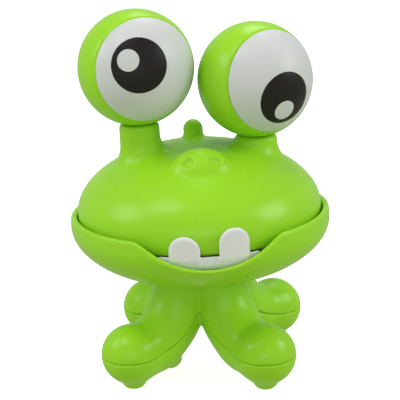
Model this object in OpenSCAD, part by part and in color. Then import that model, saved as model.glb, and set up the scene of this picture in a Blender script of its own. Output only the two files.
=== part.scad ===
// Toy frog figure: a round head with a hinged mouth and two stalked eyes, on a base with four curved legs.
// Millimetres. Z is up, the floor is z = 0, the neck axis is the Z axis. The leg base faces -Y.

/* [Leg base] */
// distance of each foot's centre from the neck axis
foot_rho = 27.8; // [27:0.1:29]
// height of each foot's centre
foot_z = 10.4; // [10:0.1:11.5]
// radius of the round foot
foot_r = 8.7; // [8.2:0.05:9.2]
// radius of the curved leg
leg_r = 7.7; // [7:0.05:7.8]
// radius of the leg's bend, at its middle
bend_r = 19.3; // [18.8:0.1:19.6]
// radius of the leg near the hub
haunch_r = 8.5; // [8.3:0.05:8.8]
// radius of the bend at the middle of the thicker part
haunch_bend_r = 20; // [19.9:0.05:20.3]
// angle up the bend where the thicker part starts
haunch_angle = 42; // [38:1:48]
// distance of each toe nub from the neck axis
toe_rho = 27.4; // [26:0.1:29]
// radius of the flat that each toe nub stands on
toe_flat_r = 2.6; // [1.5:0.1:3]
// wall of the leg shells
leg_wall = 1.8; // [1.2:0.1:2.4]
// height of the hub's top face
hub_top = 29.85; // [29:0.05:29.9]
// angle of the screw bosses up the bend
boss_angle = 30; // [26:1:34]
// radius of the screw bosses
boss_r = 2.6; // [2.3:0.1:3]
// how far the screw bosses stand out of the leg
boss_out = 3.2; // [2.8:0.1:3.4]

/* [Neck] */
// angle that the head is turned on the neck
head_turn = 10.5; // [-45:0.5:45]
// radius of the neck post
neck_r = 5; // [4:0.1:6]
// running clearance of every turning fit, on the radius
run = 0.05; // [0.02:0.01:0.1]

/* [Lower jaw] */
// radius of the jaw at its widest
jaw_r = 38.4; // [37.6:0.1:40]
// height of the widest part of the jaw
jaw_z = 46.2; // [45:0.1:48]
// depth of the bowl below its widest part
jaw_depth = 17.8; // [17:0.1:18.5]
// height of the flat underside on the neck
jaw_floor = 30; // [30:0.1:30.5]
// wall of the bowl and of the lip
jaw_wall = 2; // [1.6:0.1:2]
// height of the lip above the widest part, before it is cut
lip_h = 6.2; // [6.2:0.1:8]
// height of the rim where the dip at the front starts
rim_front = 49.6; // [49:0.1:50]
// height of the rim at the corners of the mouth
rim_corner = 49.3; // [49:0.1:50]
// height of the rim at the hinge
rim_rear = 48.6; // [48:0.1:49]
// half width of the dip at the front
dip_half = 19.8; // [18:0.1:24]
// depth of the dip at the front
dip_depth = 8.1; // [6:0.1:9.2]

/* [Head] */
// radius of the dome at its widest
dome_r = 36.4; // [36:0.1:36.6]
// height of the dome's widest part
dome_mid = 48.6; // [48:0.1:49]
// height of the dome above its widest part
dome_h = 19.9; // [19.5:0.05:21]
// how far the dome sits behind the neck axis
dome_back = 2.4; // [2.2:0.1:2.8]
// how far in front of the neck axis the muzzle is
muzzle_y = -13.5; // [-15:0.1:-12]
// radius of the muzzle
muzzle_r = 7.2; // [7:0.1:7.5]
// height of the dome's lower edge
skirt_z = 44.8; // [44.7:0.1:45.5]
// wall of the dome
dome_wall = 2; // [1.6:0.1:2.4]
// how far the mouth hinge is behind the neck axis
hinge_y = 34.4; // [34.2:0.1:34.8]
// height of the mouth hinge
hinge_z = 49.5; // [49.3:0.1:49.8]
// radius of the hinge barrel
barrel_r = 2.45; // [2.2:0.05:2.5]
// radius of the hinge pin
pin_r = 1.25; // [1:0.05:1.4]

/* [Teeth] */
// distance of each tooth from the middle
tooth_x = 6.9; // [6:0.1:8]
// half width of a tooth
tooth_half = 4.35; // [3.5:0.05:4.8]
// height of the top of the tooth at -X
tooth_top_a = 51.1; // [50:0.1:54]
// height of the top of the tooth at +X
tooth_top_b = 52.9; // [50:0.1:54]

/* [Eyes] */
// distance of the two eye stalks from each other
stalk_gap = 34.3; // [34.2:0.1:36]
// how far the pair of stalks is off the middle
stalk_shift = 0.6; // [-1:0.1:1]
// radius of the stalks
stalk_r = 5.9; // [5.4:0.1:6.4]
// height of the top of the stalk at -X
stalk_top_high = 75.9; // [75:0.1:79]
// height of the top of the stalk at +X
stalk_top_low = 70.5; // [70:0.1:73]
// radius of the eyes
eye_r = 16.8; // [16.4:0.1:16.8]
// height of an eye's centre above its stalk
eye_rise = 16.2; // [15.8:0.1:16.4]
// wall of the eye shells and caps
eye_wall = 1.8; // [1.4:0.1:2]
// distance of the seam between shell and cap from the eye's centre
eye_seam = 8; // [7.5:0.1:9]
// how far the eyes look up
eye_tilt = 4; // [0:0.5:12]
// direction of the high eye, from the head's front
heading_high = 17.2; // [-180:0.1:180]
// direction of the low eye, from the head's front
heading_low = 27.4; // [-180:0.1:180]
// turn of the high eye's cap
spin_high = 151; // [0:1:360]
// turn of the low eye's cap
spin_low = 266; // [0:1:360]
// radius of the pupils
pupil_r = 7.7; // [6:0.1:8.3]
// radius of the pupils' round highlight
glint_r = 3.3; // [2:0.1:3.5]
// angle of the pupil off the cap's axis
pupil_off = 16.5; // [10:0.5:20]
// angle of the highlight off the cap's axis
glint_off = 28; // [24:0.5:32]

/* [Hidden] */
$fn = 72;
bend_z = foot_z + bend_r;
hub_floor = hub_top - 3.4;
// the two leg shells part on a wide arc that starts level at the feet
part_r = 24;
part_z = foot_z + part_r;
rotation_top = acos((part_z - hub_floor) / part_r);
parting = [for (i = [0:12]) let (t = rotation_top * i / 12) [foot_rho - part_r * sin(t), part_z - part_r * cos(t)]];
// underside of the leg and the parting, along a boss screw
heel_r = 28.4;
part_at_boss = 20.2;
parting_back = [for (i = [12:-1:0]) parting[i]];
legs = [-135, -45, 45, 135];
boss_legs = [-135, 45];
post_top = jaw_floor + 3.6;
tray_z = 41.9;
tray_t = 1.4;
tray_screw_at = [90, 210, 330];
palate_z = 45;
// the dome is trimmed to this radius, to run inside the lip
trim_r = 36.1;
muzzle_z = dome_z(2.6, muzzle_y) - 4.6;
tooth_in = 34.4;
// the gum is the tray's raised front edge, between and beside the teeth
gum_in = 34.1;
gum_out = 34.7;
gum_top = 45;
tooth_out = 35.7;
palate_t = 2;
palate_screw_at = [270, 30, 150];
palate_screw_rho = 24;
ear_in = 8.8;
ear_out = 12.8;
eye_x = [stalk_shift - stalk_gap / 2, stalk_shift + stalk_gap / 2];
stalk_top = [stalk_top_high, stalk_top_low];
heading = [heading_high, heading_low];
spin = [spin_high, spin_low];
eye_post_r = 2.4;
lens_post_r = 2.2;
plate_z = 4.45;
plate_t = 2;
green = [0.5, 0.8, 0.12];
white = [0.9, 0.9, 0.88];
black = [0.05, 0.05, 0.05];
steel = [0.7, 0.7, 0.72];

// ---- leg base. In a leg's own frame it runs out along +X.

module bend(r) translate([foot_rho, 0, bend_z]) rotate([90, 0, 0]) rotate([0, 0, 180]) rotate_extrude(angle = 90) translate([bend_r, 0]) circle(r);

// the thicker part of the leg, up to the hub
module haunch(r) translate([foot_rho, 0, bend_z]) rotate([90, 0, 0]) {
  rotate([0, 0, 180]) rotate_extrude(angle = 90 - haunch_angle) translate([haunch_bend_r, 0]) circle(r);
  translate([-haunch_bend_r * sin(haunch_angle), -haunch_bend_r * cos(haunch_angle), 0]) sphere(r + 0.15);
}

module leg_body() {
  bend(leg_r);
  haunch(haunch_r);
  translate([foot_rho, 0, foot_z]) sphere(foot_r);
}

// the thicker part is left solid around this
module leg_hollow() intersection() {
  union() {
    bend(leg_r - leg_wall);
    translate([foot_rho, 0, foot_z]) sphere(foot_r - leg_wall);
  }
  translate([-5, -30, -5]) cube([80, 60, hub_floor + 5]);
}

module quarter() translate([0, 0, -5]) linear_extrude(60) polygon([[0, 0], [60, -60], [60, 60]]);

module upper_side() rotate([90, 0, 0]) linear_extrude(90, center = true) polygon(concat([[60, foot_z], [60, hub_top], [0, hub_top], [0, hub_floor]], parting_back));

module lower_side() rotate([90, 0, 0]) linear_extrude(90, center = true) polygon(concat([[0, hub_floor], [0, -5], [60, -5], [60, foot_z]], parting));

// along a screw's axis, measured from the bend's centre
module on_boss() translate([foot_rho, 0, bend_z]) rotate([0, boss_angle, 0]) mirror([0, 0, 1]) children();

module upper_leg() intersection() {
  difference() {
    leg_body();
    leg_hollow();
  }
  upper_side();
  quarter();
}

module lower_leg(boss) difference() {
  union() {
    intersection() {
      leg_body();
      lower_side();
      quarter();
    }
    translate([toe_rho, 0, 0]) cylinder(h = 4.6, r1 = toe_flat_r, r2 = 5.4);
    if (boss) on_boss() translate([0, 0, heel_r - 2.8]) cylinder(h = boss_out + 2.8, r = boss_r);
  }
  leg_hollow();
}

module leg_top_shell() color(green) difference() {
  union() {
    for (a = legs) rotate([0, 0, a]) upper_leg();
    for (a = boss_legs) rotate([0, 0, a]) on_boss() translate([0, 0, bend_r - leg_r + 1.2]) cylinder(h = part_at_boss - 0.5 - (bend_r - leg_r + 1.2), r = 2.2);
    translate([0, 0, hub_floor]) cylinder(h = post_top - hub_floor, r = neck_r);
  }
  for (a = boss_legs) rotate([0, 0, a]) on_boss() translate([0, 0, bend_r - leg_r + 2.2]) cylinder(h = 10, r = 0.95);
  translate([0, 0, post_top - 6.4]) cylinder(h = 10, r = 1.28);
}

module leg_bottom_shell() color(green) difference() {
  union() {
    for (a = legs) rotate([0, 0, a]) lower_leg(a == boss_legs[0] || a == boss_legs[1]);
    for (a = boss_legs) rotate([0, 0, a]) on_boss() translate([0, 0, part_at_boss + 1.2]) cylinder(h = heel_r - part_at_boss - 2.2, r = 2.2);
  }
  for (a = boss_legs) rotate([0, 0, a]) on_boss() {
    translate([0, 0, part_at_boss - 1.5]) cylinder(h = 20, r = 1.15);
    translate([0, 0, heel_r + 0.2]) cylinder(h = 10, r = 1.95);
  }
}

module leg_screws() color(steel) for (a = boss_legs) rotate([0, 0, a]) on_boss() {
  translate([0, 0, bend_r - leg_r + 2.6]) cylinder(h = heel_r + 0.5 - (bend_r - leg_r + 2.6), r = 0.92);
  translate([0, 0, heel_r + 0.25]) difference() {
    cylinder(h = 1.4, r = 1.85);
    for (t = [0, 90]) rotate([0, 0, t]) translate([-1.1, -0.25, 0.7]) cube([2.2, 0.5, 2]);
  }
}

// ---- neck

module neck_washer() color(steel) translate([0, 0, post_top]) difference() {
  cylinder(h = 1, r = 8);
  translate([0, 0, -1]) cylinder(h = 3, r = 1.6);
}

module pan_screw(head_r, head_h, shank_r, length) {
  difference() {
    cylinder(h = head_h, r = head_r);
    for (t = [0, 90]) rotate([0, 0, t]) translate([-head_r * 0.6, -0.3, head_h - 0.7]) cube([head_r * 1.2, 0.6, 2]);
  }
  translate([0, 0, -length]) cylinder(h = length + 0.2, r = shank_r);
}

module neck_screw() color(steel) translate([0, 0, post_top + 1]) pan_screw(3, 1.8, 1.25, 7);

// ---- lower jaw and head. Both are drawn facing -Y, then turned on the neck.

module turned() rotate([0, 0, head_turn]) children();

function ellipse(rx, rz, z, t0, t1, n) = [for (i = [0:n]) let (t = t0 + (t1 - t0) * i / n) [rx * cos(t), z + rz * sin(t)]];

module bowl() {
  outer = ellipse(jaw_r, jaw_depth, jaw_z, -asin((jaw_z - jaw_floor) / jaw_depth), 0, 18);
  lip = [for (i = [1:6]) let (t = 15 * i) [jaw_r - jaw_wall + jaw_wall * cos(t), jaw_z + lip_h * sin(t)]];
  inner = ellipse(jaw_r - jaw_wall, jaw_depth - jaw_wall, jaw_z, 0, -asin((jaw_z - jaw_floor - 2) / (jaw_depth - jaw_wall)), 18);
  rotate_extrude() polygon(concat([[0, jaw_floor]], outer, lip, inner, [[0, jaw_floor + 2]]));
}

// all above the rim: it rises from the front to the corners of the mouth and drops again to the hinge
module above_rim() rotate([90, 0, 90]) linear_extrude(100, center = true) polygon([[-60, rim_front - 3.6], [-32, rim_front], [-2, rim_corner], [22, rim_rear], [60, rim_rear], [60, 80], [-60, 80]]);

module front_dip() {
  top = rim_front;
  dip = [for (i = [-10:10]) let (x = dip_half * i / 10) [x, top - dip_depth * (1 - pow(i / 10, 2))]];
  rotate([90, 0, 0]) linear_extrude(60) polygon(concat(dip, [[dip_half + 3, top + 4], [-dip_half - 3, top + 4]]));
}

module along_hinge() translate([0, hinge_y, hinge_z]) rotate([0, 90, 0]) children();

module jaw_ears() for (s = [-1, 1]) translate([s * (ear_in + ear_out) / 2, 0, 0]) {
  along_hinge() cylinder(h = ear_out - ear_in, r = barrel_r, center = true);
  translate([-(ear_out - ear_in) / 2, hinge_y - 1.4, 43]) cube([ear_out - ear_in, 3.2, hinge_z - 43]);
}

module lower_jaw() color(green) turned() difference() {
  union() {
    difference() {
      bowl();
      above_rim();
      front_dip();
      // room for the head's hinge barrel
      translate([-ear_out - 0.6, hinge_y - 6, hinge_z - 3.3]) cube([2 * ear_out + 1.2, 20, 10]);
    }
    translate([0, 0, jaw_floor]) cylinder(h = 3.5, r = 9);
    for (a = tray_screw_at) rotate([0, 0, a]) translate([20, 0, 33]) cylinder(h = tray_z - 33, r = 3);
    jaw_ears();
  }
  translate([0, 0, jaw_floor - 5]) cylinder(h = 12, r = neck_r + run);
  for (a = tray_screw_at) rotate([0, 0, a]) translate([20, 0, tray_z - 7]) cylinder(h = 10, r = 1.03);
  along_hinge() cylinder(h = 60, r = pin_r + 0.02, center = true);
}

// ---- mouth tray with the teeth

module ring(r1, r2, z1, z2) translate([0, 0, z1]) difference() {
  cylinder(h = z2 - z1, r = r2);
  translate([0, 0, -1]) cylinder(h = z2 - z1 + 2, r = r1);
}

module tooth(x, top) intersection() {
  rotate_extrude() polygon([[32.2, tray_z - 1.7], [33.35, tray_z - 1.7], [34.4, tray_z - 0.4], [35.2, tray_z + 0.9], [tooth_out, tray_z + 2.3], [tooth_out, 60], [tooth_in, 60], [tooth_in, tray_z + tray_t], [32.2, tray_z + tray_t]]);
  translate([x, 0, 0]) rotate([90, 0, 0]) linear_extrude(60) {
    translate([0, top - tooth_half]) circle(tooth_half);
    translate([-tooth_half, 40]) square([2 * tooth_half, top - tooth_half - 40]);
  }
}

module teeth_tray() color(white) turned() difference() {
  union() {
    translate([0, 0, tray_z]) cylinder(h = tray_t, r = 34);
    intersection() {
      rotate_extrude() polygon([[31, tray_z - 1.7], [33.1, tray_z - 1.7], [34.15, tray_z - 0.4], [gum_out, tray_z + 0.6], [gum_out, gum_top], [gum_in, gum_top], [gum_in, tray_z + tray_t], [31, tray_z + tray_t]]);
      translate([-14, -60, 30]) cube([28, 60, 40]);
    }
    tooth(-tooth_x, tooth_top_a);
    tooth(tooth_x, tooth_top_b);
  }
  for (a = tray_screw_at) rotate([0, 0, a]) translate([20, 0, tray_z - 2]) cylinder(h = 6, r = 1.2);
}

module tray_screws() color(steel) turned() for (a = tray_screw_at) rotate([0, 0, a]) translate([20, 0, tray_z + tray_t]) pan_screw(2.3, 1.2, 1, 7.4);

module hinge_pin() color(steel) turned() along_hinge() cylinder(h = 2 * ear_out - 0.4, r = pin_r, center = true);

// ---- head

module dome(less) intersection() {
  translate([0, dome_back, 0]) rotate_extrude() polygon(concat([[0, skirt_z - less]], ellipse(dome_r - less, dome_h - less, dome_mid, -asin((dome_mid - skirt_z + less) / (dome_h - less)), 90, 22)));
  translate([0, 0, 30]) cylinder(h = 60, r = trim_r - less);
}

function dome_z(x, y) = dome_mid + dome_h * sqrt(1 - (x * x + (y - dome_back) * (y - dome_back)) / (dome_r * dome_r));

module stalk(i) translate([eye_x[i], 0, 0]) {
  translate([0, 0, 60]) cylinder(h = stalk_top[i] - 60.7, r = stalk_r);
  translate([0, 0, stalk_top[i] - 0.7]) cylinder(h = 0.7, r1 = stalk_r, r2 = stalk_r - 0.7);
  translate([0, 0, dome_z(eye_x[i], 0) - 3]) cylinder(h = 4.2, r1 = 10, r2 = stalk_r - 0.05);
}

module muzzle() for (s = [-1, 1]) translate([s * 2.6, muzzle_y, muzzle_z]) sphere(muzzle_r);

module nostrils() for (s = [-1, 1]) translate([s * 4.35, muzzle_y - 4.4, muzzle_z + 6.9]) sphere(2);

module crest() translate([0, 15.5, dome_z(0, 15.5) - 2]) {
  cylinder(h = 4.6, r = 3);
  translate([0, 0, 4.3]) sphere(3.15);
}

module head_knuckle() {
  along_hinge() cylinder(h = 2 * ear_in - 0.8, r = barrel_r, center = true);
  intersection() {
    translate([-ear_in + 0.4, hinge_y - 2.4, hinge_z]) cube([2 * ear_in - 0.8, 4, 5]);
    translate([0, 0, 30]) cylinder(h = 60, r = trim_r);
  }
}

module head_shell() color(green) turned() difference() {
  union() {
    difference() {
      union() {
        dome(0);
        stalk(0);
        stalk(1);
        muzzle();
        crest();
      }
      dome(dome_wall);
      for (i = [0, 1]) translate([eye_x[i], 0, 50]) cylinder(h = stalk_top[i] - 57.5, r = 4);
      nostrils();
      // window for the jaw's hinge ears
      translate([-ear_out - 0.5, hinge_y - 3.2, 40]) cube([2 * ear_out + 1, 20, hinge_z + 3.2 - 40]);
    }
    head_knuckle();
    for (a = palate_screw_at) translate([0, dome_back, 0]) rotate([0, 0, a]) translate([palate_screw_rho, 0, palate_z + palate_t]) cylinder(h = 15.6, r = 3);
    for (i = [0, 1]) translate([eye_x[i], 0, stalk_top[i] - 1]) cylinder(h = 4.35, r = eye_post_r);
  }
  along_hinge() cylinder(h = 60, r = pin_r + run, center = true);
  for (a = palate_screw_at) translate([0, dome_back, 0]) rotate([0, 0, a]) translate([palate_screw_rho, 0, 40]) cylinder(h = 15, r = 1.03);
  for (i = [0, 1]) translate([eye_x[i], 0, stalk_top[i] - 5.5]) cylinder(h = 20, r = 0.93);
}

module palate_plate() color(green) turned() difference() {
  translate([0, dome_back, palate_z]) cylinder(h = palate_t, r = 33.2);
  translate([-ear_out - 1, hinge_y - 3.6, 40]) cube([2 * ear_out + 2, 20, 20]);
  translate([0, 0, 40]) difference() {
    cylinder(h = 20, r = 60);
    translate([0, 0, -1]) cylinder(h = 22, r = 33.9);
  }
  for (a = palate_screw_at) translate([0, dome_back, 0]) rotate([0, 0, a]) translate([palate_screw_rho, 0, palate_z - 1]) {
    cylinder(h = 5, r = 1.3);
    cylinder(h = 2.1, r = 2.6);
  }
}

module palate_screws() color(steel) turned() for (a = palate_screw_at) translate([0, dome_back, 0]) rotate([0, 0, a]) translate([palate_screw_rho, 0, palate_z + 1.1]) mirror([0, 0, 1]) pan_screw(2.4, 1, 1, 8);

module swivel_washers() color(steel) turned() for (i = [0, 1]) translate([eye_x[i], 0, stalk_top[i] + 3.35]) difference() {
  cylinder(h = 0.8, r = 3.5);
  translate([0, 0, -1]) cylinder(h = 3, r = 1.1);
}

module swivel_screws() color(steel) turned() for (i = [0, 1]) translate([eye_x[i], 0, stalk_top[i] + 4.15]) pan_screw(2.2, 1.3, 0.9, 8.5);

// ---- eyes. An eye's own frame has its centre at 0 and the stalk below it.

module at_eye(i) turned() translate([eye_x[i], 0, stalk_top[i] + eye_rise]) rotate([0, 0, heading[i]]) children();

// the cap's axis becomes Z, and the viewer's right becomes X
module at_cap(i) at_eye(i) rotate([90 - eye_tilt, 0, 0]) rotate([0, 0, spin[i]]) children();

module eye_shell(i) color(green) at_eye(i) difference() {
  union() {
    difference() {
      sphere(eye_r);
      sphere(eye_r - eye_wall);
    }
    intersection() {
      sphere(eye_r - 0.4);
      translate([0, 0, -eye_rise]) cylinder(h = 3.3, r = 5.2);
    }
    rotate([90 - eye_tilt, 0, 0]) intersection() {
      sphere(eye_r - 0.4);
      ring(12.2, 17, 3, 4.4);
    }
  }
  rotate([90 - eye_tilt, 0, 0]) translate([0, 0, eye_seam]) cylinder(h = 20, r = 20);
  translate([0, 0, -eye_rise - 9.9]) cylinder(h = 10, r = 10);
  translate([0, 0, -20]) cylinder(h = 10, r = eye_post_r + run);
}

module bearing_plate(i) color(white) at_eye(i) rotate([90 - eye_tilt, 0, 0]) ring(lens_post_r + run, 13.2, plate_z, plate_z + plate_t);

module pupil_mark(r, hole, depth) difference() {
  intersection() {
    sphere(eye_r);
    rotate([0, pupil_off, 0]) cylinder(h = 30, r = r);
  }
  sphere(eye_r - depth);
  rotate([0, glint_off, 0]) cylinder(h = 30, r = hole);
}

module eye_cap(i) color(white) at_cap(i) difference() {
  union() {
    intersection() {
      difference() {
        sphere(eye_r);
        sphere(eye_r - eye_wall);
      }
      translate([0, 0, eye_seam + 0.2]) cylinder(h = 20, r = 20);
    }
    intersection() {
      sphere(eye_r - 0.9);
      translate([0, 0, plate_z + plate_t + 0.1]) cylinder(h = 12, r = 4);
    }
    translate([0, 0, plate_z - 0.1]) cylinder(h = 5, r = lens_post_r);
  }
  translate([0, 0, plate_z - 1]) cylinder(h = 7.5, r = 0.88);
  difference() {
    intersection() {
      sphere(eye_r + 1);
      rotate([0, pupil_off, 0]) cylinder(h = 30, r = pupil_r + 0.03);
    }
    sphere(eye_r - 0.52);
    rotate([0, glint_off, 0]) cylinder(h = 30, r = glint_r - 0.03);
  }
}

module pupil(i) color(black) at_cap(i) pupil_mark(pupil_r, glint_r, 0.5);

module cap_washer(i) color(steel) at_cap(i) ring(1.05, 4.2, plate_z - 1, plate_z - 0.1);

module cap_screw(i) color(steel) at_cap(i) translate([0, 0, plate_z - 1]) mirror([0, 0, 1]) pan_screw(2, 1.3, 0.85, 6.8);

module high_eye_shell() eye_shell(0);
module high_bearing_plate() bearing_plate(0);
module high_eye_cap() eye_cap(0);
module high_pupil() pupil(0);
module high_cap_washer() cap_washer(0);
module high_cap_screw() cap_screw(0);
module low_eye_shell() eye_shell(1);
module low_bearing_plate() bearing_plate(1);
module low_eye_cap() eye_cap(1);
module low_pupil() pupil(1);
module low_cap_washer() cap_washer(1);
module low_cap_screw() cap_screw(1);

leg_top_shell();
leg_bottom_shell();
leg_screws();
neck_washer();
neck_screw();
lower_jaw();
teeth_tray();
tray_screws();
hinge_pin();
head_shell();
palate_plate();
palate_screws();
swivel_washers();
swivel_screws();
high_eye_shell();
high_bearing_plate();
high_eye_cap();
high_pupil();
high_cap_washer();
high_cap_screw();
low_eye_shell();
low_bearing_plate();
low_eye_cap();
low_pupil();
low_cap_washer();
low_cap_screw();
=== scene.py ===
"""Looks of the toy frog figure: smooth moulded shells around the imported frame. Lengths here are millimetres until a mesh is made."""

import math

import bpy
import numpy as np
from mathutils import Matrix, Vector


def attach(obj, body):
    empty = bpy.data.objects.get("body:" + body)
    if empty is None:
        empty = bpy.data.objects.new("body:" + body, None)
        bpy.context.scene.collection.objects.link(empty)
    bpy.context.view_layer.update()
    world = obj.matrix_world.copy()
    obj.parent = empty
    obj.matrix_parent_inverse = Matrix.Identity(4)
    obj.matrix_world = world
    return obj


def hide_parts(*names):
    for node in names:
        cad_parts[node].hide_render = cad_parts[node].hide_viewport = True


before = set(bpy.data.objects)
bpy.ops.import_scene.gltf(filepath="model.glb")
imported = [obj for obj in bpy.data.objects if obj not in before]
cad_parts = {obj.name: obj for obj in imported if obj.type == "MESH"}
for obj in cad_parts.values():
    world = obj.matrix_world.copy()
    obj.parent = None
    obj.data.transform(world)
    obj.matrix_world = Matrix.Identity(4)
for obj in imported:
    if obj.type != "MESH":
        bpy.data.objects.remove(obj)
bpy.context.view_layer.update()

# ---------------------------------------------------------------- sizes, as in the solids
FOOT_RHO, FOOT_Z, FOOT_R, LEG_R, BEND_R = 27.8, 10.4, 8.7, 7.7, 19.3
HAUNCH_R, HAUNCH_BEND = 8.5, 20.0
BEND_Z = FOOT_Z + BEND_R
TOE_RHO, TOE_FLAT = 27.4, 2.6
HUB_TOP, HUB_FLOOR = 29.85, 26.45
PART_R = 24.0
BOSS_ANGLE, BOSS_R, HEEL_R, BOSS_OUT = math.radians(30), 2.9, 28.4, 2.4
HEAD_TURN = math.radians(10.5)
JAW_R, JAW_Z, JAW_DEPTH, JAW_FLOOR, JAW_WALL, LIP_H = 38.4, 46.2, 17.8, 30.0, 2.0, 6.2
RIM_FRONT, RIM_CORNER, RIM_REAR = 49.6, 49.3, 48.6
DIP_HALF, DIP_DEPTH = 19.8, 8.1
DOME_R, DOME_H, DOME_MID, DOME_BACK, SKIRT_Z, DOME_WALL, TRIM_R = 36.4, 19.9, 48.6, 2.4, 44.8, 2.0, 36.1
MUZZLE_Y, MUZZLE_R = -13.5, 7.2
HINGE_Y, HINGE_Z, BARREL_R, EAR_IN, EAR_OUT = 34.4, 49.5, 2.45, 8.8, 12.8
TRAY_Z, TRAY_T = 41.9, 1.4
TOOTH_X, TOOTH_HALF, TOOTH_TOPS = 6.9, 4.35, (51.1, 52.9)
EYE_X, STALK_R, STALK_TOPS = (-16.55, 17.75), 5.9, (75.9, 70.5)
EYE_R, EYE_RISE, EYE_WALL, EYE_SEAM, EYE_TILT = 16.8, 16.2, 1.8, 8.0, math.radians(4)
HEADINGS = (math.radians(17.2), math.radians(27.4))
SPINS = (math.radians(151), math.radians(266))
PUPIL_R, GLINT_R, PUPIL_OFF, GLINT_OFF = 7.7, 3.1, math.radians(16.5), math.radians(28)


# ---------------------------------------------------------------- distance fields and their mesher
def smin(a, b, k):
    h = np.clip(0.5 + 0.5 * (b - a) / k, 0.0, 1.0)
    return b + (a - b) * h - k * h * (1.0 - h)


def smax(a, b, k):
    return -smin(-a, -b, k)


def ellipsoid(p, centre, radii):
    q = p - np.array(centre, float)
    r = np.array(radii, float)
    k0 = np.sqrt(((q / r) ** 2).sum(1))
    k1 = np.sqrt(((q / (r * r)) ** 2).sum(1))
    return k0 * (k0 - 1.0) / np.maximum(k1, 1e-9)


def bar_x(p, y, z, r, x0, x1, k=0.5):
    """A round bar along X."""
    return smax(np.hypot(p[:, 1] - y, p[:, 2] - z) - r, np.abs(p[:, 0] - (x0 + x1) / 2) - (x1 - x0) / 2, k)


def block(p, lo, hi, k=0.5):
    lo, hi = np.array(lo, float), np.array(hi, float)
    q = np.abs(p - (lo + hi) / 2) - (hi - lo) / 2
    return smax(smax(q[:, 0], q[:, 1], k), q[:, 2], k)


CORNERS = np.array([[i, j, k] for i in (0, 1) for j in (0, 1) for k in (0, 1)])
EDGES = [(a, b) for a in range(8) for b in range(a + 1, 8) if abs(CORNERS[a] - CORNERS[b]).sum() == 1]


def mesh_of(f, lo, hi, h, B=12):
    """Vertices and quads of f = 0. Only the blocks of cells that the surface may cross are sampled, and the vertices are then moved onto the surface."""
    lo = np.array(lo, float)
    nb = np.ceil((np.array(hi, float) - lo) / (h * B)).astype(int)
    ids = np.stack(np.meshgrid(*[np.arange(n) for n in nb], indexing="ij"), -1).reshape(-1, 3)
    near = np.abs(f(lo + (ids + 0.5) * B * h)) < B * h * 0.87 * 1.35 + h
    ids = ids[near]
    g = np.stack(np.meshgrid(*[np.arange(B + 1)] * 3, indexing="ij"), -1).reshape(-1, 3)
    size = nb * B + 2
    keys, spots, quads = [], [], []
    for s in range(0, len(ids), 64):
        base = ids[s : s + 64] * B
        n = len(base)
        idx = base[:, None, :] + g[None]
        v = f((lo + idx * h).reshape(-1, 3)).reshape(n, B + 1, B + 1, B + 1)
        inside = v < 0
        c = np.zeros((n, B, B, B), int)
        for i, j, k in CORNERS:
            c += inside[:, i : i + B, j : j + B, k : k + B]
        act = np.argwhere((c > 0) & (c < 8))
        if len(act):
            a, cell = act[:, 0], act[:, 1:]
            vals = np.stack([v[a, cell[:, 0] + i, cell[:, 1] + j, cell[:, 2] + k] for i, j, k in CORNERS], 1)
            total, count = np.zeros((len(act), 3)), np.zeros(len(act))
            for x, y in EDGES:
                cross = (vals[:, x] < 0) != (vals[:, y] < 0)
                t = np.where(cross, vals[:, x] / np.where(cross, vals[:, x] - vals[:, y], 1.0), 0.0)
                total += cross[:, None] * (CORNERS[x] + t[:, None] * (CORNERS[y] - CORNERS[x]))
                count += cross
            where = base[a] + cell
            keys.append((where[:, 0] * size[1] + where[:, 1]) * size[2] + where[:, 2])
            spots.append(lo + (where + total / count[:, None]) * h)
        for axis in range(3):
            u, w = (axis + 1) % 3, (axis + 2) % 3
            first = [slice(None)] + [slice(0, B)] * 3
            second = list(first)
            second[axis + 1] = slice(1, B + 1)
            p, q = inside[tuple(first)], inside[tuple(second)]
            hit = np.argwhere(p != q)
            if not len(hit):
                continue
            at = base[hit[:, 0]] + hit[:, 1:]
            out = p[tuple(hit.T)]
            ring = []
            for du, dw in ((-1, -1), (0, -1), (0, 0), (-1, 0)):
                r = at.copy()
                r[:, u] += du
                r[:, w] += dw
                ring.append((r[:, 0] * size[1] + r[:, 1]) * size[2] + r[:, 2])
            ring = np.stack(ring, 1)
            ring[~out] = ring[~out][:, ::-1]
            quads.append(ring)
    keys, spots, quads = np.concatenate(keys), np.concatenate(spots), np.concatenate(quads)
    order = np.argsort(keys)
    keys, spots = keys[order], spots[order]
    found = np.clip(np.searchsorted(keys, quads), 0, len(keys) - 1)
    quads = found[(keys[found] == quads).all(1)]
    e = 0.02
    for _ in range(4):
        d = f(spots)
        grad = np.stack([(f(spots + e * np.eye(3)[i]) - f(spots - e * np.eye(3)[i])) / (2 * e) for i in range(3)], 1)
        step = d / np.maximum((grad**2).sum(1), 0.25)
        spots = spots - np.clip(step, -0.6 * h, 0.6 * h)[:, None] * grad
    return spots, quads


def make_mesh(name, verts, quads):
    """A Blender mesh from vertices in mm and an array of quads."""
    me = bpy.data.meshes.new(name)
    me.vertices.add(len(verts))
    me.vertices.foreach_set("co", (np.asarray(verts) / 1000.0).astype(np.float32).ravel())
    quads = np.asarray(quads, dtype=np.int32)
    me.loops.add(quads.size)
    me.loops.foreach_set("vertex_index", quads.ravel())
    me.polygons.add(len(quads))
    me.polygons.foreach_set("loop_start", np.arange(0, quads.size, 4, dtype=np.int32))
    me.polygons.foreach_set("use_smooth", np.ones(len(quads), dtype=bool))
    me.update(calc_edges=True)
    me.validate()
    return me


def piece(name, mesh, body, node, material):
    ob = bpy.data.objects.new(name, mesh)
    bpy.context.scene.collection.objects.link(ob)
    ob.data.materials.append(material)
    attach(ob, body)
    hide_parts(node)
    return ob


def turned(v, angle=HEAD_TURN):
    c, s = math.cos(angle), math.sin(angle)
    return np.asarray(v) @ np.array([[c, s, 0], [-s, c, 0], [0, 0, 1.0]])


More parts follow.
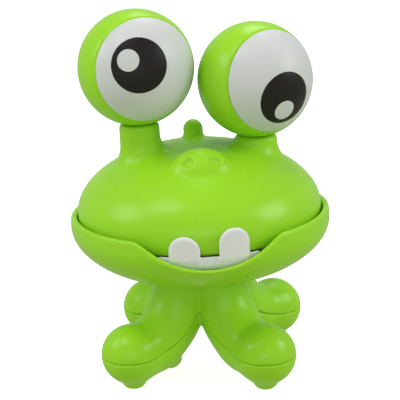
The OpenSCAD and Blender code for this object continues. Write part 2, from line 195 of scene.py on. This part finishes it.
# ---------------------------------------------------------------- materials
def nodes_of(name):
    m = bpy.data.materials.new(name)
    m.use_nodes = True
    t = m.node_tree
    return m, t, t.nodes["Principled BSDF"]


def moulded(name, colour, deep, rough, gloss=0.25, grain=0.012, mottle=0.5, sheen_spot=0.05):
    """Moulded plastic: a slow drift of colour, a fine moulded grain and uneven polish."""
    m, t, b = nodes_of(name)
    co = t.nodes.new("ShaderNodeTexCoord")
    slow = t.nodes.new("ShaderNodeTexNoise")
    slow.inputs["Scale"].default_value = 38.0
    slow.inputs["Detail"].default_value = 3.0
    t.links.new(co.outputs["Object"], slow.inputs["Vector"])
    ramp = t.nodes.new("ShaderNodeMapRange")
    ramp.inputs["From Min"].default_value = 0.3
    ramp.inputs["From Max"].default_value = 0.7
    ramp.inputs["To Max"].default_value = mottle
    t.links.new(slow.outputs["Fac"], ramp.inputs["Value"])
    mix = t.nodes.new("ShaderNodeMix")
    mix.data_type = "RGBA"
    mix.inputs["A"].default_value = (*colour, 1)
    mix.inputs["B"].default_value = (*deep, 1)
    t.links.new(ramp.outputs["Result"], mix.inputs["Factor"])
    t.links.new(mix.outputs["Result"], b.inputs["Base Color"])
    polish = t.nodes.new("ShaderNodeTexNoise")
    polish.inputs["Scale"].default_value = 110.0
    polish.inputs["Detail"].default_value = 4.0
    t.links.new(co.outputs["Object"], polish.inputs["Vector"])
    pr = t.nodes.new("ShaderNodeMapRange")
    pr.inputs["To Min"].default_value = rough - sheen_spot
    pr.inputs["To Max"].default_value = rough + sheen_spot
    t.links.new(polish.outputs["Fac"], pr.inputs["Value"])
    t.links.new(pr.outputs["Result"], b.inputs["Roughness"])
    fine = t.nodes.new("ShaderNodeTexNoise")
    fine.inputs["Scale"].default_value = 900.0
    fine.inputs["Detail"].default_value = 2.0
    t.links.new(co.outputs["Object"], fine.inputs["Vector"])
    bump = t.nodes.new("ShaderNodeBump")
    bump.inputs["Strength"].default_value = 0.25
    bump.inputs["Distance"].default_value = grain / 1000.0
    t.links.new(fine.outputs["Fac"], bump.inputs["Height"])
    t.links.new(bump.outputs["Normal"], b.inputs["Normal"])
    b.inputs["IOR"].default_value = 1.5
    b.inputs["Specular IOR Level"].default_value = gloss
    return m


def metal(name, colour, rough):
    """Zinc-plated steel with cloudy plating."""
    m, t, b = nodes_of(name)
    co = t.nodes.new("ShaderNodeTexCoord")
    cloud = t.nodes.new("ShaderNodeTexNoise")
    cloud.inputs["Scale"].default_value = 400.0
    cloud.inputs["Detail"].default_value = 3.0
    t.links.new(co.outputs["Object"], cloud.inputs["Vector"])
    mix = t.nodes.new("ShaderNodeMix")
    mix.data_type = "RGBA"
    mix.inputs["A"].default_value = (*colour, 1)
    mix.inputs["B"].default_value = (colour[0] * 0.8, colour[1] * 0.8, colour[2] * 0.86, 1)
    t.links.new(cloud.outputs["Fac"], mix.inputs["Factor"])
    t.links.new(mix.outputs["Result"], b.inputs["Base Color"])
    pr = t.nodes.new("ShaderNodeMapRange")
    pr.inputs["To Min"].default_value = rough - 0.08
    pr.inputs["To Max"].default_value = rough + 0.08
    t.links.new(cloud.outputs["Fac"], pr.inputs["Value"])
    t.links.new(pr.outputs["Result"], b.inputs["Roughness"])
    b.inputs["Metallic"].default_value = 1.0
    return m


GREEN = moulded("green_plastic", (0.336, 0.715, 0.021), (0.312, 0.675, 0.017), 0.28)
WHITE = moulded("white_plastic", (0.80, 0.805, 0.785), (0.77, 0.775, 0.755), 0.34)
# painted shade: the eye caps are the same white plastic as the tray, coloured darker to tone down the light on the tops
# of the eyes
EYE_WHITE_SHADED = moulded("eye_white_painted_shade", (0.645, 0.66, 0.65), (0.62, 0.635, 0.625), 0.34)
BLACK = moulded("black_print", (0.012, 0.011, 0.010), (0.018, 0.016, 0.015), 0.4, 0.2)
STEEL = metal("plated_steel", (0.62, 0.62, 0.64), 0.32)


# ---------------------------------------------------------------- leg base
def legs(p):
    ax, ay, z = np.abs(p[:, 0]), np.abs(p[:, 1]), p[:, 2]

    def one(x, y):
        # the leg thickens smoothly up its bend, from the foot to the hub
        u, v = x - FOOT_RHO, z - BEND_Z
        bend = np.degrees(np.arctan2(-u, -v))
        t = np.clip((bend - 12) / 38, 0, 1)
        t = t * t * (3 - 2 * t)
        arc = np.hypot(np.hypot(u, v) - BEND_R - (HAUNCH_BEND - BEND_R) * t, y) - LEG_R - (HAUNCH_R - LEG_R) * t
        # and is fuller under the heel
        arc = arc - 1.3 * np.exp(-(((bend - 22) / 15) ** 2)) * np.clip((np.hypot(u, v) - BEND_R) / LEG_R, 0, 1)
        up = np.hypot(u + HAUNCH_BEND, y) - HAUNCH_R
        ball = np.sqrt(u * u + (v + BEND_R) ** 2 + y * y)
        tube = np.where(u > 0, ball - LEG_R, np.where(v > 0, up, arc))
        d = smin(tube, ball - FOOT_R, 2.0)
        toe = (np.hypot(x - TOE_RHO, y) - (TOE_FLAT + 0.1 + z * 0.62)) * 0.85
        toe = np.maximum(smax(toe, -z, 1.0), z - 5)
        return smin(d, toe, 0.8)

    q = math.sqrt(0.5)
    d = one((ax + ay) * q, (ax - ay) * q)
    d = smin(d, one((ay - ax) * q, (-ax - ay) * q), 1.0)
    d = smin(d, one((ax - ay) * q, (ax + ay) * q), 1.0)
    # screw bosses under the front leg at -X and the back leg at +X
    u, w = np.abs(p[:, 0] + p[:, 1]) * q - FOOT_RHO, (p[:, 0] - p[:, 1]) * q
    v = z - BEND_Z
    along = -u * math.sin(BOSS_ANGLE) - v * math.cos(BOSS_ANGLE)
    across = np.hypot(u * math.cos(BOSS_ANGLE) - v * math.sin(BOSS_ANGLE), w)
    boss = smax(smax(across - BOSS_R, along - HEEL_R - BOSS_OUT, 1.2), 22 - along, 0.2)
    d = smin(d, boss, 2.6)
    d = smax(d, -np.maximum(across - 1.95, HEEL_R + 0.2 - along), 0.3)
    return smax(d, z - HUB_TOP, 0.6)


def above_parting(p):
    x, z = (np.abs(p[:, 0]) + np.abs(p[:, 1])) * math.sqrt(0.5), p[:, 2]
    side = np.where(x < FOOT_RHO, PART_R - np.hypot(x - FOOT_RHO, z - FOOT_Z - PART_R), z - FOOT_Z)
    return np.maximum(side, z - HUB_FLOOR)


def leg_top(p):
    d = smax(legs(p), 0.04 - above_parting(p), 0.45)
    post = smax(np.hypot(p[:, 0], p[:, 1]) - 5.0, p[:, 2] - 33.6, 0.4)
    return np.minimum(d, np.maximum(post, HUB_FLOOR + 0.05 - p[:, 2]))


def leg_bottom(p):
    return smax(legs(p), above_parting(p) + 0.04, 0.45)


# ---------------------------------------------------------------- lower jaw
def lower_jaw(p):
    x, y, z = p.T
    r = np.hypot(x, y)
    rz = np.stack([r, np.zeros_like(r), z], 1)
    up = z > JAW_Z
    lip = ellipsoid(rz, (JAW_R - JAW_WALL, 0, JAW_Z), (JAW_WALL, 9, LIP_H))
    out = np.where(up, lip, ellipsoid(rz, (0, 0, JAW_Z), (JAW_R, JAW_R, JAW_DEPTH)))
    out = smax(out, JAW_FLOOR - z, 0.6)
    hollow = np.where(up, r - (JAW_R - JAW_WALL), ellipsoid(rz, (0, 0, JAW_Z), (JAW_R - JAW_WALL, JAW_R - JAW_WALL, JAW_DEPTH - JAW_WALL)))
    hollow = np.maximum(hollow, JAW_FLOOR + 2 - z)
    d = smax(out, -hollow, 0.3)
    # the rim rises to the corners of the mouth, then drops to the hinge
    t = np.clip((y + 32) / 30, -1, 1)
    rise = RIM_FRONT + (RIM_CORNER - RIM_FRONT) * (1.5 * t - 0.5 * t * np.abs(t))
    rim = smin(rise, RIM_CORNER - (RIM_CORNER - RIM_REAR) / 24 * (y + 2), 0.3)
    rim = smax(rim, np.full_like(y, RIM_REAR), 0.5)
    d = smax(d, z - rim, 0.7)
    dip = (z - RIM_FRONT + DIP_DEPTH * np.clip(1 - (x / DIP_HALF) ** 2, -0.5, 1)) / 1.25
    d = smax(d, np.minimum(dip - 0.1, -5 - y), 1.2)
    d = smax(d, -block(p, (-EAR_OUT - 0.6, HINGE_Y - 6, HINGE_Z - 3.3), (EAR_OUT + 0.6, HINGE_Y + 14, HINGE_Z + 7), 0.2), 0.5)
    for s in (-1, 1):
        a, b = sorted((s * EAR_IN, s * EAR_OUT))
        ear = bar_x(p, HINGE_Y, HINGE_Z, BARREL_R, a, b, 0.5)
        web = block(p, (a, HINGE_Y - 1.4, 43), (b, HINGE_Y + 1.8, HINGE_Z), 0.5)
        d = smin(d, smin(ear, web, 0.4), 0.5)
    d = np.maximum(d, 1.3 - np.hypot(y - HINGE_Y, z - HINGE_Z))
    return np.maximum(d, 5.2 - r)


# ---------------------------------------------------------------- mouth tray with the teeth
def teeth_tray(p):
    x, y, z = p.T
    r = np.hypot(x, y)
    d = smax(r - 34.0, np.abs(z - TRAY_Z - TRAY_T / 2) - TRAY_T / 2, 0.5)
    front = np.maximum(np.abs(x) - 14, y + 10)
    low = TRAY_Z - 1.7 - z
    # the gum, the tray's raised front edge
    face = 0.85 * (r - np.interp(z, (40.2, 41.5, 42.5), (33.1, 34.15, 34.7)))
    back = np.where(z > TRAY_Z + TRAY_T, 34.1, 31.0) - r
    gum = smax(smax(face, z - 45, 0.4), np.maximum(np.maximum(back, low), front), 0.3)
    d = smin(d, gum, 0.2)
    for cx, tip in zip((-TOOTH_X, TOOTH_X), TOOTH_TOPS):
        tab = np.hypot(x - cx, np.maximum(z - tip + TOOTH_HALF, 0)) - TOOTH_HALF
        face = 0.85 * (r - np.interp(z, (40.2, 41.5, 42.8, 44.2), (33.35, 34.4, 35.2, 35.7)))
        back = np.where(z > TRAY_Z + TRAY_T, 34.4, 32.2) - r
        tooth = smax(smax(tab, np.maximum(face, back), 1.0), np.maximum(low, y + 10), 0.3)
        d = smin(d, tooth, 0.5)
    for a in (90, 210, 330):
        a = math.radians(a)
        d = np.maximum(d, 1.2 - np.hypot(x - 20 * math.cos(a), y - 20 * math.sin(a)))
    return d


# ---------------------------------------------------------------- head
def dome_z(x, y):
    return DOME_MID + DOME_H * math.sqrt(1 - (x * x + (y - DOME_BACK) ** 2) / DOME_R**2)


def head_shell(p):
    x, y, z = p.T
    r = np.hypot(x, y)
    c = (0, DOME_BACK, DOME_MID)
    d = smax(ellipsoid(p, c, (DOME_R, DOME_R, DOME_H)), r - TRIM_R, 0.3)
    for cx, tip in zip(EYE_X, STALK_TOPS):
        stalk = smax(smax(np.hypot(x - cx, y) - STALK_R, z - tip, 1.6), 55 - z, 0.5)
        d = smin(d, stalk, 5.0)
    z0 = dome_z(2.6, MUZZLE_Y) - 4.4
    mound = [np.sqrt((x - s * 2.6) ** 2 + (y - MUZZLE_Y) ** 2 + (z - z0) ** 2) - MUZZLE_R for s in (-1, 1)]
    arch = np.sqrt(x * x + (y - MUZZLE_Y - 0.6) ** 2 + (z - z0 - 0.9) ** 2) - MUZZLE_R
    d = smin(d, smin(smin(*mound, 2.0), arch, 1.5), 0.8)
    tip = dome_z(0, 15.5) + 5.4
    crest = np.sqrt(x * x + (y - 15.5) ** 2 + np.maximum(z - tip + 3, 0) ** 2) - 3.0
    d = smin(d, np.maximum(crest, 60 - z), 1.6)
    for s in (-1, 1):
        hole = np.sqrt((x - s * 4.3) ** 2 + (y - MUZZLE_Y + 5.0) ** 2 + (z - z0 - 6.2) ** 2) - 2.2
        d = smax(d, -hole, 0.4)
    d = smax(d, SKIRT_Z - z, 0.7)
    inner = np.maximum(ellipsoid(p, c, (DOME_R - DOME_WALL, DOME_R - DOME_WALL, DOME_H - DOME_WALL)), r - TRIM_R + DOME_WALL)
    d = smax(d, -inner, 0.6)
    d = smax(d, -block(p, (-EAR_OUT - 0.5, HINGE_Y - 3.2, 40), (EAR_OUT + 0.5, HINGE_Y + 17, HINGE_Z + 3.2), 0.3), 0.4)
    barrel = bar_x(p, HINGE_Y, HINGE_Z, BARREL_R, -EAR_IN + 0.4, EAR_IN - 0.4, 0.4)
    web = np.maximum(block(p, (-EAR_IN + 0.4, HINGE_Y - 2.4, HINGE_Z), (EAR_IN - 0.4, HINGE_Y + 1.6, HINGE_Z + 5), 0.4), r - TRIM_R)
    d = smin(d, smin(barrel, web, 0.4), 0.4)
    d = np.maximum(d, 1.3 - np.hypot(y - HINGE_Y, z - HINGE_Z))
    for cx, top in zip(EYE_X, STALK_TOPS):
        post = np.maximum(smax(np.hypot(x - cx, y) - 2.4, z - top - 3.35, 0.3), 70 - z)
        d = np.minimum(d, post)
    return d


# ---------------------------------------------------------------- eyes, turned about their own axes
def lathe(profile, n=128):
    """Verts and quads of a closed profile of (axial, radius) turned about Z. Points on the axis become short rings of no width, welded later."""
    prof = np.array(profile, float)
    t = np.arange(n) * 2 * math.pi / n
    v = np.stack([prof[:, 1][:, None] * np.cos(t), prof[:, 1][:, None] * np.sin(t), np.repeat(prof[:, 0][:, None], n, 1)], -1).reshape(-1, 3)
    i, j = np.meshgrid(np.arange(len(prof) - 1), np.arange(n), indexing="ij")
    a, b = i * n + j, i * n + (j + 1) % n
    return v, np.stack([a, b, b + n, a + n], -1).reshape(-1, 4)


def sphere_run(r, a0, a1, n):
    """(axial, radius) on a sphere from polar angle a0 to a1, in degrees from the axis."""
    t = np.radians(np.linspace(a0, a1, n))
    return [(r * math.cos(x), max(r * math.sin(x), 1e-4)) for x in t]


def eye_frame(i):
    """Rotation and centre of an eye in the row frame: columns are the viewer's right, up and the cap's axis."""
    h = HEADINGS[i] + HEAD_TURN
    ct, st = math.cos(EYE_TILT), math.sin(EYE_TILT)
    right = np.array([math.cos(h), math.sin(h), 0])
    axis = np.array([math.sin(h) * ct, -math.cos(h) * ct, st])
    up = np.cross(axis, right)
    centre = turned(np.array([[EYE_X[i], 0, STALK_TOPS[i] + EYE_RISE]]))[0]
    return np.stack([right, up, axis], 1), centre


def clean(me):
    import bmesh

    bm = bmesh.new()
    bm.from_mesh(me)
    bmesh.ops.remove_doubles(bm, verts=bm.verts, dist=2e-6)
    bmesh.ops.dissolve_degenerate(bm, edges=bm.edges, dist=1e-7)
    bmesh.ops.recalc_face_normals(bm, faces=bm.faces)
    bm.to_mesh(me)
    bm.free()
    for f in me.polygons:
        f.use_smooth = True
    return me


def carve(me, tool, kind):
    """The mesh joined with another, or with it taken out."""
    a, b = bpy.data.objects.new("carved", me), bpy.data.objects.new("tool", tool)
    for o in (a, b):
        bpy.context.scene.collection.objects.link(o)
    mod = a.modifiers.new("carve", "BOOLEAN")
    mod.operation, mod.solver, mod.object = kind, "EXACT", b
    out = bpy.data.meshes.new_from_object(a.evaluated_get(bpy.context.evaluated_depsgraph_get()))
    for o in (a, b):
        bpy.data.objects.remove(o)
    return out


def rod(name, r, z0, z1, centre):
    v, q = lathe([(z0, 1e-4), (z0, r), (z1, r), (z1, 1e-4)], 64)
    return clean(make_mesh(name, v + centre, q))


def eye_shell(i):
    rot, centre = eye_frame(i)
    edge = math.degrees(math.acos(EYE_SEAM / EYE_R))
    r_in = EYE_R - EYE_WALL
    rim = EYE_R * math.sin(math.radians(edge))
    prof = sphere_run(EYE_R, 180, edge + 1.6, 72)
    prof += [(EYE_SEAM - 0.2, rim - 0.05), (EYE_SEAM - 0.05, rim - 0.2), (EYE_SEAM, rim - 0.42)]
    back = math.degrees(math.acos(EYE_SEAM / r_in))
    prof += sphere_run(r_in, back, 180, 40)
    v, q = lathe(prof)
    v = v @ rot.T
    floor = -EYE_RISE + 0.25
    out = v[:, 2] < floor
    v[out, 2] = floor
    me = clean(make_mesh(f"eye_shell_{i}", v + centre, q))
    # the boss that turns on the stalk's post
    me = carve(me, rod(f"eye_boss_{i}", 5.2, -15.4, -12.9, centre), "UNION")
    return carve(me, rod(f"eye_bore_{i}", 2.9, -17.5, -12.0, centre), "DIFFERENCE")


def eye_cap(i):
    rot, centre = eye_frame(i)
    seam = EYE_SEAM + 0.2
    edge = math.degrees(math.acos(seam / EYE_R))
    r_in = EYE_R - EYE_WALL
    rim = EYE_R * math.sin(math.radians(edge))
    prof = sphere_run(EYE_R, 0, edge - 1.6, 48)
    prof += [(seam + 0.2, rim - 0.1), (seam + 0.05, rim - 0.25), (seam, rim - 0.47)]
    back = math.degrees(math.acos(seam / r_in))
    prof += sphere_run(r_in, back, 0, 30)
    v, q = lathe(prof)
    return clean(make_mesh(f"eye_cap_{i}", v @ rot.T + centre, q))


def pupil(i):
    """A thin printed mark: black between its own edge and the round highlight, 0.03 mm proud of the cap."""
    rot, centre = eye_frame(i)
    c, s = math.cos(SPINS[i]), math.sin(SPINS[i])
    spin = np.array([[c, -s, 0], [s, c, 0], [0, 0, 1.0]])
    n, m = 120, 14
    t = np.arange(n) * 2 * math.pi / n

    def circle(off, rad):
        a = math.asin(rad / EYE_R)
        axis = np.array([math.sin(off), 0, math.cos(off)])
        side = np.array([math.cos(off), 0, -math.sin(off)])
        return math.cos(a) * axis + math.sin(a) * (np.cos(t)[:, None] * side + np.sin(t)[:, None] * np.array([0, 1.0, 0]))

    outer, inner = circle(PUPIL_OFF, PUPIL_R), circle(GLINT_OFF, GLINT_R)
    rows = [(outer, EYE_R - 0.25), (outer, EYE_R + 0.015)]
    for k in range(m + 1):
        w = k / m
        d = outer * (1 - w) + inner * w
        d /= np.linalg.norm(d, axis=1)[:, None]
        rows.append((d, EYE_R + (0.03 if 0 < k < m else 0.027)))
    rows += [(inner, EYE_R + 0.015), (inner, EYE_R - 0.25)]
    for k in range(m - 1, 0, -1):
        w = k / m
        d = outer * (1 - w) + inner * w
        rows.append((d / np.linalg.norm(d, axis=1)[:, None], EYE_R - 0.25))
    v = np.concatenate([d * r for d, r in rows])
    i_, j = np.meshgrid(np.arange(len(rows)), np.arange(n), indexing="ij")
    a, b = i_ * n + j, i_ * n + (j + 1) % n
    a2, b2 = (i_ + 1) % len(rows) * n + j, (i_ + 1) % len(rows) * n + (j + 1) % n
    q = np.stack([a, b, b2, a2], -1).reshape(-1, 4)
    return clean(make_mesh(f"pupil_{i}", (v @ spin.T) @ rot.T + centre, q))


# ---------------------------------------------------------------- pieces
FINE = 0.42
v, q = mesh_of(leg_top, (-39, -39, -1.5), (39, 39, 35.5), FINE)
piece("legs_upper", make_mesh("legs_upper", v, q), "base", "leg_top_shell", GREEN)
v, q = mesh_of(leg_bottom, (-39, -39, -1.5), (39, 39, 29), FINE)
piece("legs_lower", make_mesh("legs_lower", v, q), "base", "leg_bottom_shell", GREEN)
v, q = mesh_of(lower_jaw, (-41, -41, 28), (41, 41, 54), 0.45)
piece("jaw", make_mesh("jaw", turned(v), q), "jaw", "lower_jaw", GREEN)
v, q = mesh_of(teeth_tray, (-38, -38, 40), (38, 38, 56), 0.36)
piece("tray", make_mesh("tray", turned(v), q), "jaw", "teeth_tray", WHITE)
v, q = mesh_of(head_shell, (-39, -37, 43), (39, 40, 83), 0.46)
piece("head", make_mesh("head", turned(v), q), "head", "head_shell", GREEN)
for i, side in enumerate(("high", "low")):
    piece(f"{side}_eye_back", eye_shell(i), f"{side}_eye", f"{side}_eye_shell", GREEN)
    # the caps take the darker white, which is painted shade
    piece(f"{side}_eye_front", eye_cap(i), f"{side}_cap", f"{side}_eye_cap", EYE_WHITE_SHADED)
    piece(f"{side}_eye_pupil", pupil(i), f"{side}_cap", f"{side}_pupil", BLACK)

for name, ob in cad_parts.items():
    if name == "palate_plate":
        m = GREEN
    elif "bearing_plate" in name:
        m = WHITE
    elif "screw" in name or "washer" in name or name == "hinge_pin":
        m = STEEL
    else:
        continue
    ob.data.materials.clear()
    ob.data.materials.append(m)

# ---------------------------------------------------------------- floor, light and camera
scene = bpy.context.scene
scene.view_settings.view_transform = "Standard"
floor_mesh = bpy.data.meshes.new("floor")
floor_mesh.from_pydata([(-20, -20, 0), (20, -20, 0), (20, 20, 0), (-20, 20, 0)], [], [(0, 1, 2, 3)])
floor = bpy.data.objects.new("floor", floor_mesh)
scene.collection.objects.link(floor)
m, t, b = nodes_of("floor_paper")
b.inputs["Base Color"].default_value = (0.92, 0.92, 0.92, 1)
b.inputs["Roughness"].default_value = 0.8
b.inputs["Emission Color"].default_value = (1, 1, 1, 1)
b.inputs["Emission Strength"].default_value = 0.8
floor_mesh.materials.append(m)
floor.visible_diffuse = False
floor.visible_glossy = False

world = bpy.data.worlds.new("studio")
scene.world = world
world.use_nodes = True
wt = world.node_tree
bg = wt.nodes["Background"]
way = wt.nodes.new("ShaderNodeTexCoord")
split = wt.nodes.new("ShaderNodeSeparateXYZ")
wt.links.new(way.outputs["Generated"], split.inputs["Vector"])
fade = wt.nodes.new("ShaderNodeMapRange")
fade.inputs["From Min"].default_value = -0.5
fade.inputs["From Max"].default_value = 0.3
fade.inputs["To Min"].default_value = 0.56
fade.inputs["To Max"].default_value = 0.44
wt.links.new(split.outputs["Z"], fade.inputs["Value"])
wt.links.new(fade.outputs["Result"], bg.inputs["Strength"])
# light from below has come off the green body and the floor
place = wt.nodes.new("ShaderNodeMapRange")
place.inputs["From Min"].default_value = -0.7
place.inputs["From Max"].default_value = 0.1
wt.links.new(split.outputs["Z"], place.inputs["Value"])
tint = wt.nodes.new("ShaderNodeValToRGB")
tint.color_ramp.elements[0].color = (0.90, 1.0, 0.60, 1)
tint.color_ramp.elements[1].color = (1, 1, 1, 1)
wt.links.new(place.outputs["Result"], tint.inputs["Fac"])
wt.links.new(tint.outputs["Color"], bg.inputs["Color"])


def area(name, loc, aim, size, watts):
    d = bpy.data.lights.new(name, "AREA")
    d.shape = "RECTANGLE"
    d.size, d.size_y = size
    d.energy = watts
    o = bpy.data.objects.new(name, d)
    scene.collection.objects.link(o)
    o.location = loc
    o.rotation_euler = (Vector(aim) - Vector(loc)).to_track_quat("-Z", "Y").to_euler()
    return o


area("front_high", (-0.25, -0.22, 0.69), (0, 0, 0.06), (0.24, 0.24), 1.05)
area("right", (0.60, -0.06, 0.38), (0, 0, 0.05), (0.30, 0.30), 1.7)
area("left", (-0.54, -0.14, 0.44), (0, 0, 0.06), (0.30, 0.30), 1.25)
area("back_high", (0.03, 0.36, 0.62), (0, 0, 0.07), (0.30, 0.30), 1.0)
area("front", (0.04, -0.66, 0.22), (0, 0, 0.06), (0.50, 0.20), 0.6)

AZ, EL, DIST, AIM_X, AIM_Z, ROLL, FIELD = 6.9, 16.0, 0.375, 0.00017, 0.05133, 2.6, 18.0
az, el = math.radians(AZ), math.radians(EL)
back = Vector((math.sin(az) * math.cos(el), -math.cos(az) * math.cos(el), math.sin(el)))
right = Vector((math.cos(az), math.sin(az), 0))
up = back.cross(right)
cam_data = bpy.data.cameras.new("camera")
cam = bpy.data.objects.new("camera", cam_data)
scene.collection.objects.link(cam)
cam_data.sensor_fit = "HORIZONTAL"
cam_data.angle = math.radians(FIELD)
cam_data.clip_start = 0.01
roll = math.radians(ROLL)
r2 = right * math.cos(roll) - up * math.sin(roll)
u2 = up * math.cos(roll) + right * math.sin(roll)
rot = Matrix((r2, u2, back)).transposed()
cam.matrix_world = Matrix.Translation(Vector((0, 0, AIM_Z)) + right * AIM_X + back * DIST) @ rot.to_4x4()
scene.camera = cam
